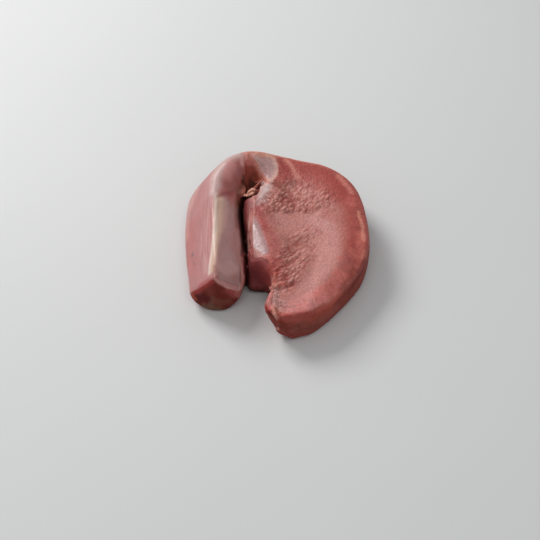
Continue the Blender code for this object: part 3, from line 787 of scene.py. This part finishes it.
# Painted light: paler just inside the front edge, on the slope that turns away from the light.
blot([(17, -82, 35), (24, -82, 35), (34, -76, 35.5)], 5, 2, (228, 142, 136), 0.7)
blot([(8, -84, 35), (13, -86, 34), (20, -87, 32.5), (36, -82, 32.5)], 3.6, 1, (168, 68, 56), 0.7)
blot([(44, -75.5, 31.5), (58, -63.5, 30)], 4, 1, (190, 100, 84), 0.6)
dab([(12, -86, 35), (22, -83.8, 34.5), (34, -80, 33.5)], 2.4, 0.6, (216, 92, 80), 0.5)
BAND = [(11, -86, 32), (20, -87, 30.5), (34, -82, 31), (48, -73, 31)]
blot(BAND, 6, 2, (150, 60, 48), 0.8, smooth(0.8, 0.5, up[:, 2]))
blot([(12, -88, 30), (20, -88, 28)], 6, 2, (156, 56, 38), 0.6, wall)
blot([(36, -83, 21), (46, -76, 22), (54, -68, 22)], 9, 3, (164, 76, 62), 0.75, wall)
blot([(13, -88, 28), (18, -88, 22), (24, -87, 16)], 8, 3, (118, 46, 32), 0.5, wall)
blot([(44, -76, 30.5), (54, -68, 29), (60, -61, 29), (64, -56, 30)], 5, 1.5, (178, 84, 70), 0.75)
blot([(12, -88, 22), (15, -89, 10)], 8, 2, (112, 44, 36), 0.6, wall)
blot([(26, -86, 18), (36, -83, 15), (47, -75, 14)], 11, 4, (124, 70, 60), 0.5, wall)
EDGE_RIGHT = [(34, -81, 35.5), (54, -68.5, 33), (66, -55, 33.5), (74, -44, 33.5), (83, -24, 35.5),
              (88, -5, 36)]
blot(EDGE_RIGHT, 2.6, 0.3, (206, 134, 112), 0.4, smooth(36, 60, x))
blot([(87, -18, 31), (82, -31, 28.5), (77, -39, 25), (72, -45.5, 21)], 6, 2, (114, 36, 32), 0.6)
blot([(48, -73, 14), (60, -61, 14)], 8, 2, (158, 84, 74), 0.45)
# Painted light: paler where the relief leaves the rim in shade.
blot([(68, -30), (66, -23)], 6, 1.5, (198, 104, 96), 0.5, on_top)

colour *= (1 + 0.05 * ripple(skin, 4, 21) + 0.05 * ripple(skin, 12, 22) + 0.04 * grain)[:, None]

# How the surface is finished: wetness, stipple and fine streaks. The streaks follow run, which grows by about
# one across each streak and by little along it.
dull = np.maximum.reduce([wall, cut_face, deep, in_hollow * smooth(38, 32, z), patch(skin, PIT)])
wet = (0.35 + 0.25 * limb) * (1 - 0.85 * dull)
facet_fade = 1 - 0.8 * near(skin, [(-12, 22), (-6.6, 6), (-3.3, -5), (-0.9, -15)], 5)
dry_lines = 1 - 0.25 * smooth(-0.2, 0.5, ripple(skin, (3, 1.1, 3), 41))
facet_wet = (0.72 + 0.15 * smooth(-5, 15, y)) * on_facet * facet_fade
wet = np.maximum(wet, facet_wet * dry_lines * smooth(34, 18, y))
wet = np.maximum(wet, 0.8 * corner)
wet = np.maximum(wet, 0.55 * on_membrane)
wet = np.maximum(wet, 0.6 * near(skin, TIP_LOBE, 5, 2) * smooth(-76, -70, y))
wet *= 1 - 0.7 * near(skin, [(-2.7, -77, 34.5), (1, -82, 31), (5, -85, 28)], 6, 3)
wet *= 1 - 0.5 * near(skin, [(-53, 88, 45), (-57.5, 80, 44), (-57.5, 66, 44)], 7, 2)
wet *= 1 - 0.7 * near(skin, [(-51.5, -28, 45.5), (-50.8, -46, 46)], 3.5, 1)
stipple_amount = np.maximum(on_top, 0.5 * wall) * (x > -16)
stipple_amount *= (1 - patch(skin, FACET)) * (1 - on_membrane)
streak_amount = np.maximum(0.5 * limb * left_side, 0.8 * wall)
on_rim = near(skin, [(66, 80), (80, 50), (85, 20), (82, -12), (72, -36)], 18, 6) * on_top
streak_amount = np.maximum(streak_amount, on_rim)
stipple_amount *= 1 - 0.6 * on_rim
stipple_amount *= (1 - 0.8 * corner) * (1 - under_facet)
lines = patch(skin, FACET) * (z > 32)
streak_amount = np.maximum(streak_amount, 0.7 * lines * smooth(-16, -6, x - 0.3 * y))
streak_amount = np.maximum(streak_amount, hairs)

rim_x, rim_y = x - 30, y - 10
rim_streaks = np.column_stack([np.arctan2(rim_y, rim_x) * 55 / 1.1, np.hypot(rim_x, rim_y) / 14, z * 0])
facet_streaks = np.column_stack([(y + 0.35 * x) / 0.9, x / 9, z * 0])
side_streaks = np.column_stack([(z - 0.6 * x) / 2.4, y / 40, x * 0])
wall_streaks = np.column_stack([z / 1.1, (x + y) / 16, (x - y) / 16])
run = np.where((limb * left_side > 0.3)[:, None], side_streaks, wall_streaks)
run = np.where(((on_top > 0.3) & (x > 50))[:, None], rim_streaks, run)
run = np.where((lines > 0.01)[:, None], facet_streaks, run)
run = np.where((hairs > 0.01)[:, None], fan, run)
for name, values in (
    ("flesh", np.column_stack([colour.clip(0, 1), np.ones(len(skin))])),
    ("finish", np.column_stack([wet, stipple_amount, streak_amount, np.ones(len(skin))])),
):
    layer = tongue.data.attributes.new(name, "FLOAT_COLOR", "POINT")
    layer.data.foreach_set("color", values.ravel())
layer = tongue.data.attributes.new("run", "FLOAT_VECTOR", "POINT")
layer.data.foreach_set("vector", run.ravel())


# Raw meat: light goes a few millimetres in, and a film of moisture lies on it.
def attribute(name):
    node = nodes.new("ShaderNodeAttribute")
    node.attribute_name = name
    return node


def maths(operation, first, second):
    node = nodes.new("ShaderNodeMath")
    node.operation = operation
    feed(node.inputs[0], first)
    feed(node.inputs[1], second)
    return node.outputs[0]


flesh, nodes, links, shader = new_material(
    "raw_flesh", Subsurface_Weight=0.15, Subsurface_Radius=(1.0, 0.35, 0.25), Subsurface_Scale=2.5 * MM,
    Coat_Roughness=0.25,
)
where = nodes.new("ShaderNodeTexCoord").outputs["Object"]
finish = add_node("ShaderNodeSeparateColor", Color=attribute("finish").outputs["Color"])
wetness, stippled, streaked = finish.outputs
stipple = add_node("ShaderNodeTexVoronoi", Vector=where, Scale=1 / (2.0 * MM)).outputs["Distance"]
fibres = add_node("ShaderNodeTexNoise", Vector=attribute("run").outputs["Vector"], Scale=1.0, Detail=3.0)
fine_noise = add_node("ShaderNodeTexNoise", Vector=where, Scale=1 / (2.8 * MM), Detail=2.5)
streak = maths("MULTIPLY", maths("SUBTRACT", fibres.outputs["Fac"], 0.5), streaked)
dots = maths("MULTIPLY", maths("SUBTRACT", 0.45, stipple), stippled)
speckle = maths("SUBTRACT", fine_noise.outputs["Fac"], 0.5)
value = maths("ADD", maths("ADD", 1.0, maths("MULTIPLY", dots, 0.2)), maths("MULTIPLY", streak, 0.7))
speckle_depth = maths("ADD", 0.2, maths("MULTIPLY", stippled, 0.4))
speckle_depth = maths("SUBTRACT", speckle_depth, maths("MULTIPLY", maths("MULTIPLY", wetness, wetness), 0.2))
value = maths("ADD", value, maths("MULTIPLY", speckle, speckle_depth))
toned = add_node("ShaderNodeHueSaturation", Color=attribute("flesh").outputs["Color"], Value=value)
# The stipple's dots mix in a pale pink: partly the papillae's own pale tips, partly painted glints on them.
dotted = nodes.new("ShaderNodeMix")
dotted.data_type = "RGBA"
feed(dotted.inputs["Factor"], maths("MULTIPLY", dots, 0.35))
feed(dotted.inputs["A"], toned.outputs["Color"])
feed(dotted.inputs["B"], (*tint(222, 182, 176), 1))
links.new(dotted.outputs["Result"], shader.inputs["Base Color"])
links.new(maths("SUBTRACT", 0.66, maths("MULTIPLY", wetness, 0.36)), shader.inputs["Roughness"])
links.new(maths("ADD", 0.08, maths("MULTIPLY", wetness, 0.5)), shader.inputs["Specular IOR Level"])
links.new(maths("MULTIPLY", maths("MULTIPLY", wetness, wetness), 0.5), shader.inputs["Coat Weight"])
height = maths("ADD", maths("MULTIPLY", dots, 0.3), maths("MULTIPLY", streak, 0.15))
height = maths("ADD", height, maths("MULTIPLY", speckle, maths("MULTIPLY", speckle_depth, 0.5)))
bump = add_node("ShaderNodeBump", Height=height, Distance=1.0 * MM, Strength=1.0)
links.new(bump.outputs["Normal"], shader.inputs["Normal"])
tongue.data.materials.clear()
tongue.data.materials.append(flesh)

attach(tongue, "root")
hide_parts("beef_tongue")


# The shred: a torn bit of membrane that hangs in the mouth of the slit on a short stalk. Its two lobes are
# folded over and grooved along their length. The pieces are lofted, then fused into one skin.
def loft(name, centres, radii, grooves=5, depth=0.12, sides=20):
    """A closed tube through the places, with grooves along it, in mm from AIM."""
    centres = np.asarray(centres, float)
    steps = np.linspace(0, len(centres) - 1, 8 * (len(centres) - 1) + 1)
    spine = np.column_stack([np.interp(steps, range(len(centres)), centres[:, axis]) for axis in range(3)])
    for _ in range(6):
        spine[1:-1] = (spine[:-2] + 2 * spine[1:-1] + spine[2:]) / 4
    radius = np.interp(steps, range(len(radii)), radii)
    verts, faces = [], []
    for i, middle in enumerate(spine):
        ahead = spine[min(i + 1, len(spine) - 1)] - spine[max(i - 1, 0)]
        side = np.cross(ahead, (0, 0, 1))
        side /= np.linalg.norm(side)
        above = np.cross(side, ahead)
        above /= np.linalg.norm(above)
        for turn in np.linspace(0, 2 * math.pi, sides, endpoint=False):
            reach = radius[i] * (1 + depth * math.cos(grooves * turn + 0.12 * i))
            place = middle + reach * (math.cos(turn) * side + 0.8 * math.sin(turn) * above)
            verts.append(AIM + Vector(place) * MM)
    for i in range(len(spine) - 1):
        for j in range(sides):
            k = (j + 1) % sides
            faces.append((i * sides + j, i * sides + k, (i + 1) * sides + k, (i + 1) * sides + j))
    faces.append(tuple(range(sides))[::-1])
    faces.append(tuple(range(len(verts) - sides, len(verts))))
    mesh = bpy.data.meshes.new(name)
    mesh.from_pydata(verts, [], faces)
    piece = bpy.data.objects.new(name, mesh)
    bpy.context.scene.collection.objects.link(piece)
    return piece


def fuse(pieces, step, rounds):
    """Join the pieces into the first one, as one smooth skin."""
    take(pieces[0])
    for piece in pieces:
        piece.select_set(True)
    bpy.ops.object.join()
    finish_modifier(pieces[0], "REMESH", mode="VOXEL", voxel_size=step * MM)
    finish_modifier(pieces[0], "SMOOTH", factor=0.5, iterations=rounds)
    take(pieces[0])
    bpy.ops.object.shade_smooth()


UPPER_LOBE = [(-22.6, 68.6, 31), (-19.7, 71, 34), (-16.3, 71.7, 36), (-13.9, 70.8, 35.5)]
LOWER_LOBE = [(-22.6, 67.6, 31), (-19.2, 67.7, 32.5), (-16.3, 68.5, 34), (-14.6, 69.8, 34.5)]
STALK = [(-26.5, 70.5, 31), (-24.5, 69, 31), (-22.4, 68.1, 31.2)]

shred = loft("membrane_shred", UPPER_LOBE, [0.9, 1.7, 2.0, 1.1])
lower_lobe = loft("lower_lobe", LOWER_LOBE, [0.9, 1.5, 1.6, 0.8])
stalk = loft("stalk", STALK, [1.7, 1.4, 1.1], grooves=3)
fuse([shred, lower_lobe, stalk], step=0.25, rounds=2)

sinew, nodes, links, shader = new_material(
    "raw_sinew", Subsurface_Weight=0.2, Subsurface_Radius=(1.0, 0.45, 0.3), Subsurface_Scale=1.0 * MM,
    Specular_IOR_Level=0.35,
)
where = nodes.new("ShaderNodeTexCoord").outputs["Object"]
along = add_node("ShaderNodeMapping", Vector=where, Scale=(900, 250, 700))
fibre = add_node("ShaderNodeTexNoise", Vector=along.outputs["Vector"], Scale=1.0, Detail=3.0)
ramp = add_node("ShaderNodeValToRGB", Fac=fibre.outputs["Fac"])
ramp.color_ramp.elements[0].position = 0.3
ramp.color_ramp.elements[0].color = (*tint(166, 98, 78), 1)
ramp.color_ramp.elements[1].position = 0.62
ramp.color_ramp.elements[1].color = (*tint(224, 168, 144), 1)
links.new(ramp.outputs["Color"], shader.inputs["Base Color"])
links.new(maths("ADD", 0.3, maths("MULTIPLY", fibre.outputs["Fac"], 0.3)), shader.inputs["Roughness"])
sinew_bump = add_node("ShaderNodeBump", Height=fibre.outputs["Fac"], Distance=0.3 * MM, Strength=1.0)
links.new(sinew_bump.outputs["Normal"], shader.inputs["Normal"])
shred.data.materials.clear()
shred.data.materials.append(sinew)
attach(shred, "root")


# The strands: three thin sinews, darker than the shred, that run up the wall of the pit from the shred to the
# corner of the blade. Their ends are grown into the meat.
LONG_STRAND = [(-17.3, 75, 32), (-13.5, 81.3, 31.5), (-9.5, 85.5, 33), (-6.5, 87, 35)]
PALE_STRAND = [(-14.4, 88.5, 28.5), (-11.6, 88.5, 30.5), (-9, 88.5, 33.5)]
PINK_STRAND = [(-15.5, 80.5, 26), (-12.8, 84.6, 27.5), (-9.5, 85.5, 31)]

strands = loft("sinew_strands", LONG_STRAND, [0.8, 0.7, 0.8, 0.7])
pale_strand = loft("pale_strand", PALE_STRAND, [0.6, 0.8, 0.6], grooves=2, depth=0.1)
pink_strand = loft("pink_strand", PINK_STRAND, [0.6, 0.8, 0.6], grooves=2, depth=0.1)
fuse([strands, pale_strand, pink_strand], step=0.2, rounds=2)
dark_sinew = sinew.copy()
dark_sinew.name = "dark_sinew"
dark_ramp = dark_sinew.node_tree.nodes[ramp.name].color_ramp
dark_ramp.elements[0].color = (*tint(136, 60, 48), 1)
dark_ramp.elements[1].color = (*tint(196, 116, 98), 1)
strands.data.materials.clear()
strands.data.materials.append(dark_sinew)
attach(strands, "root")
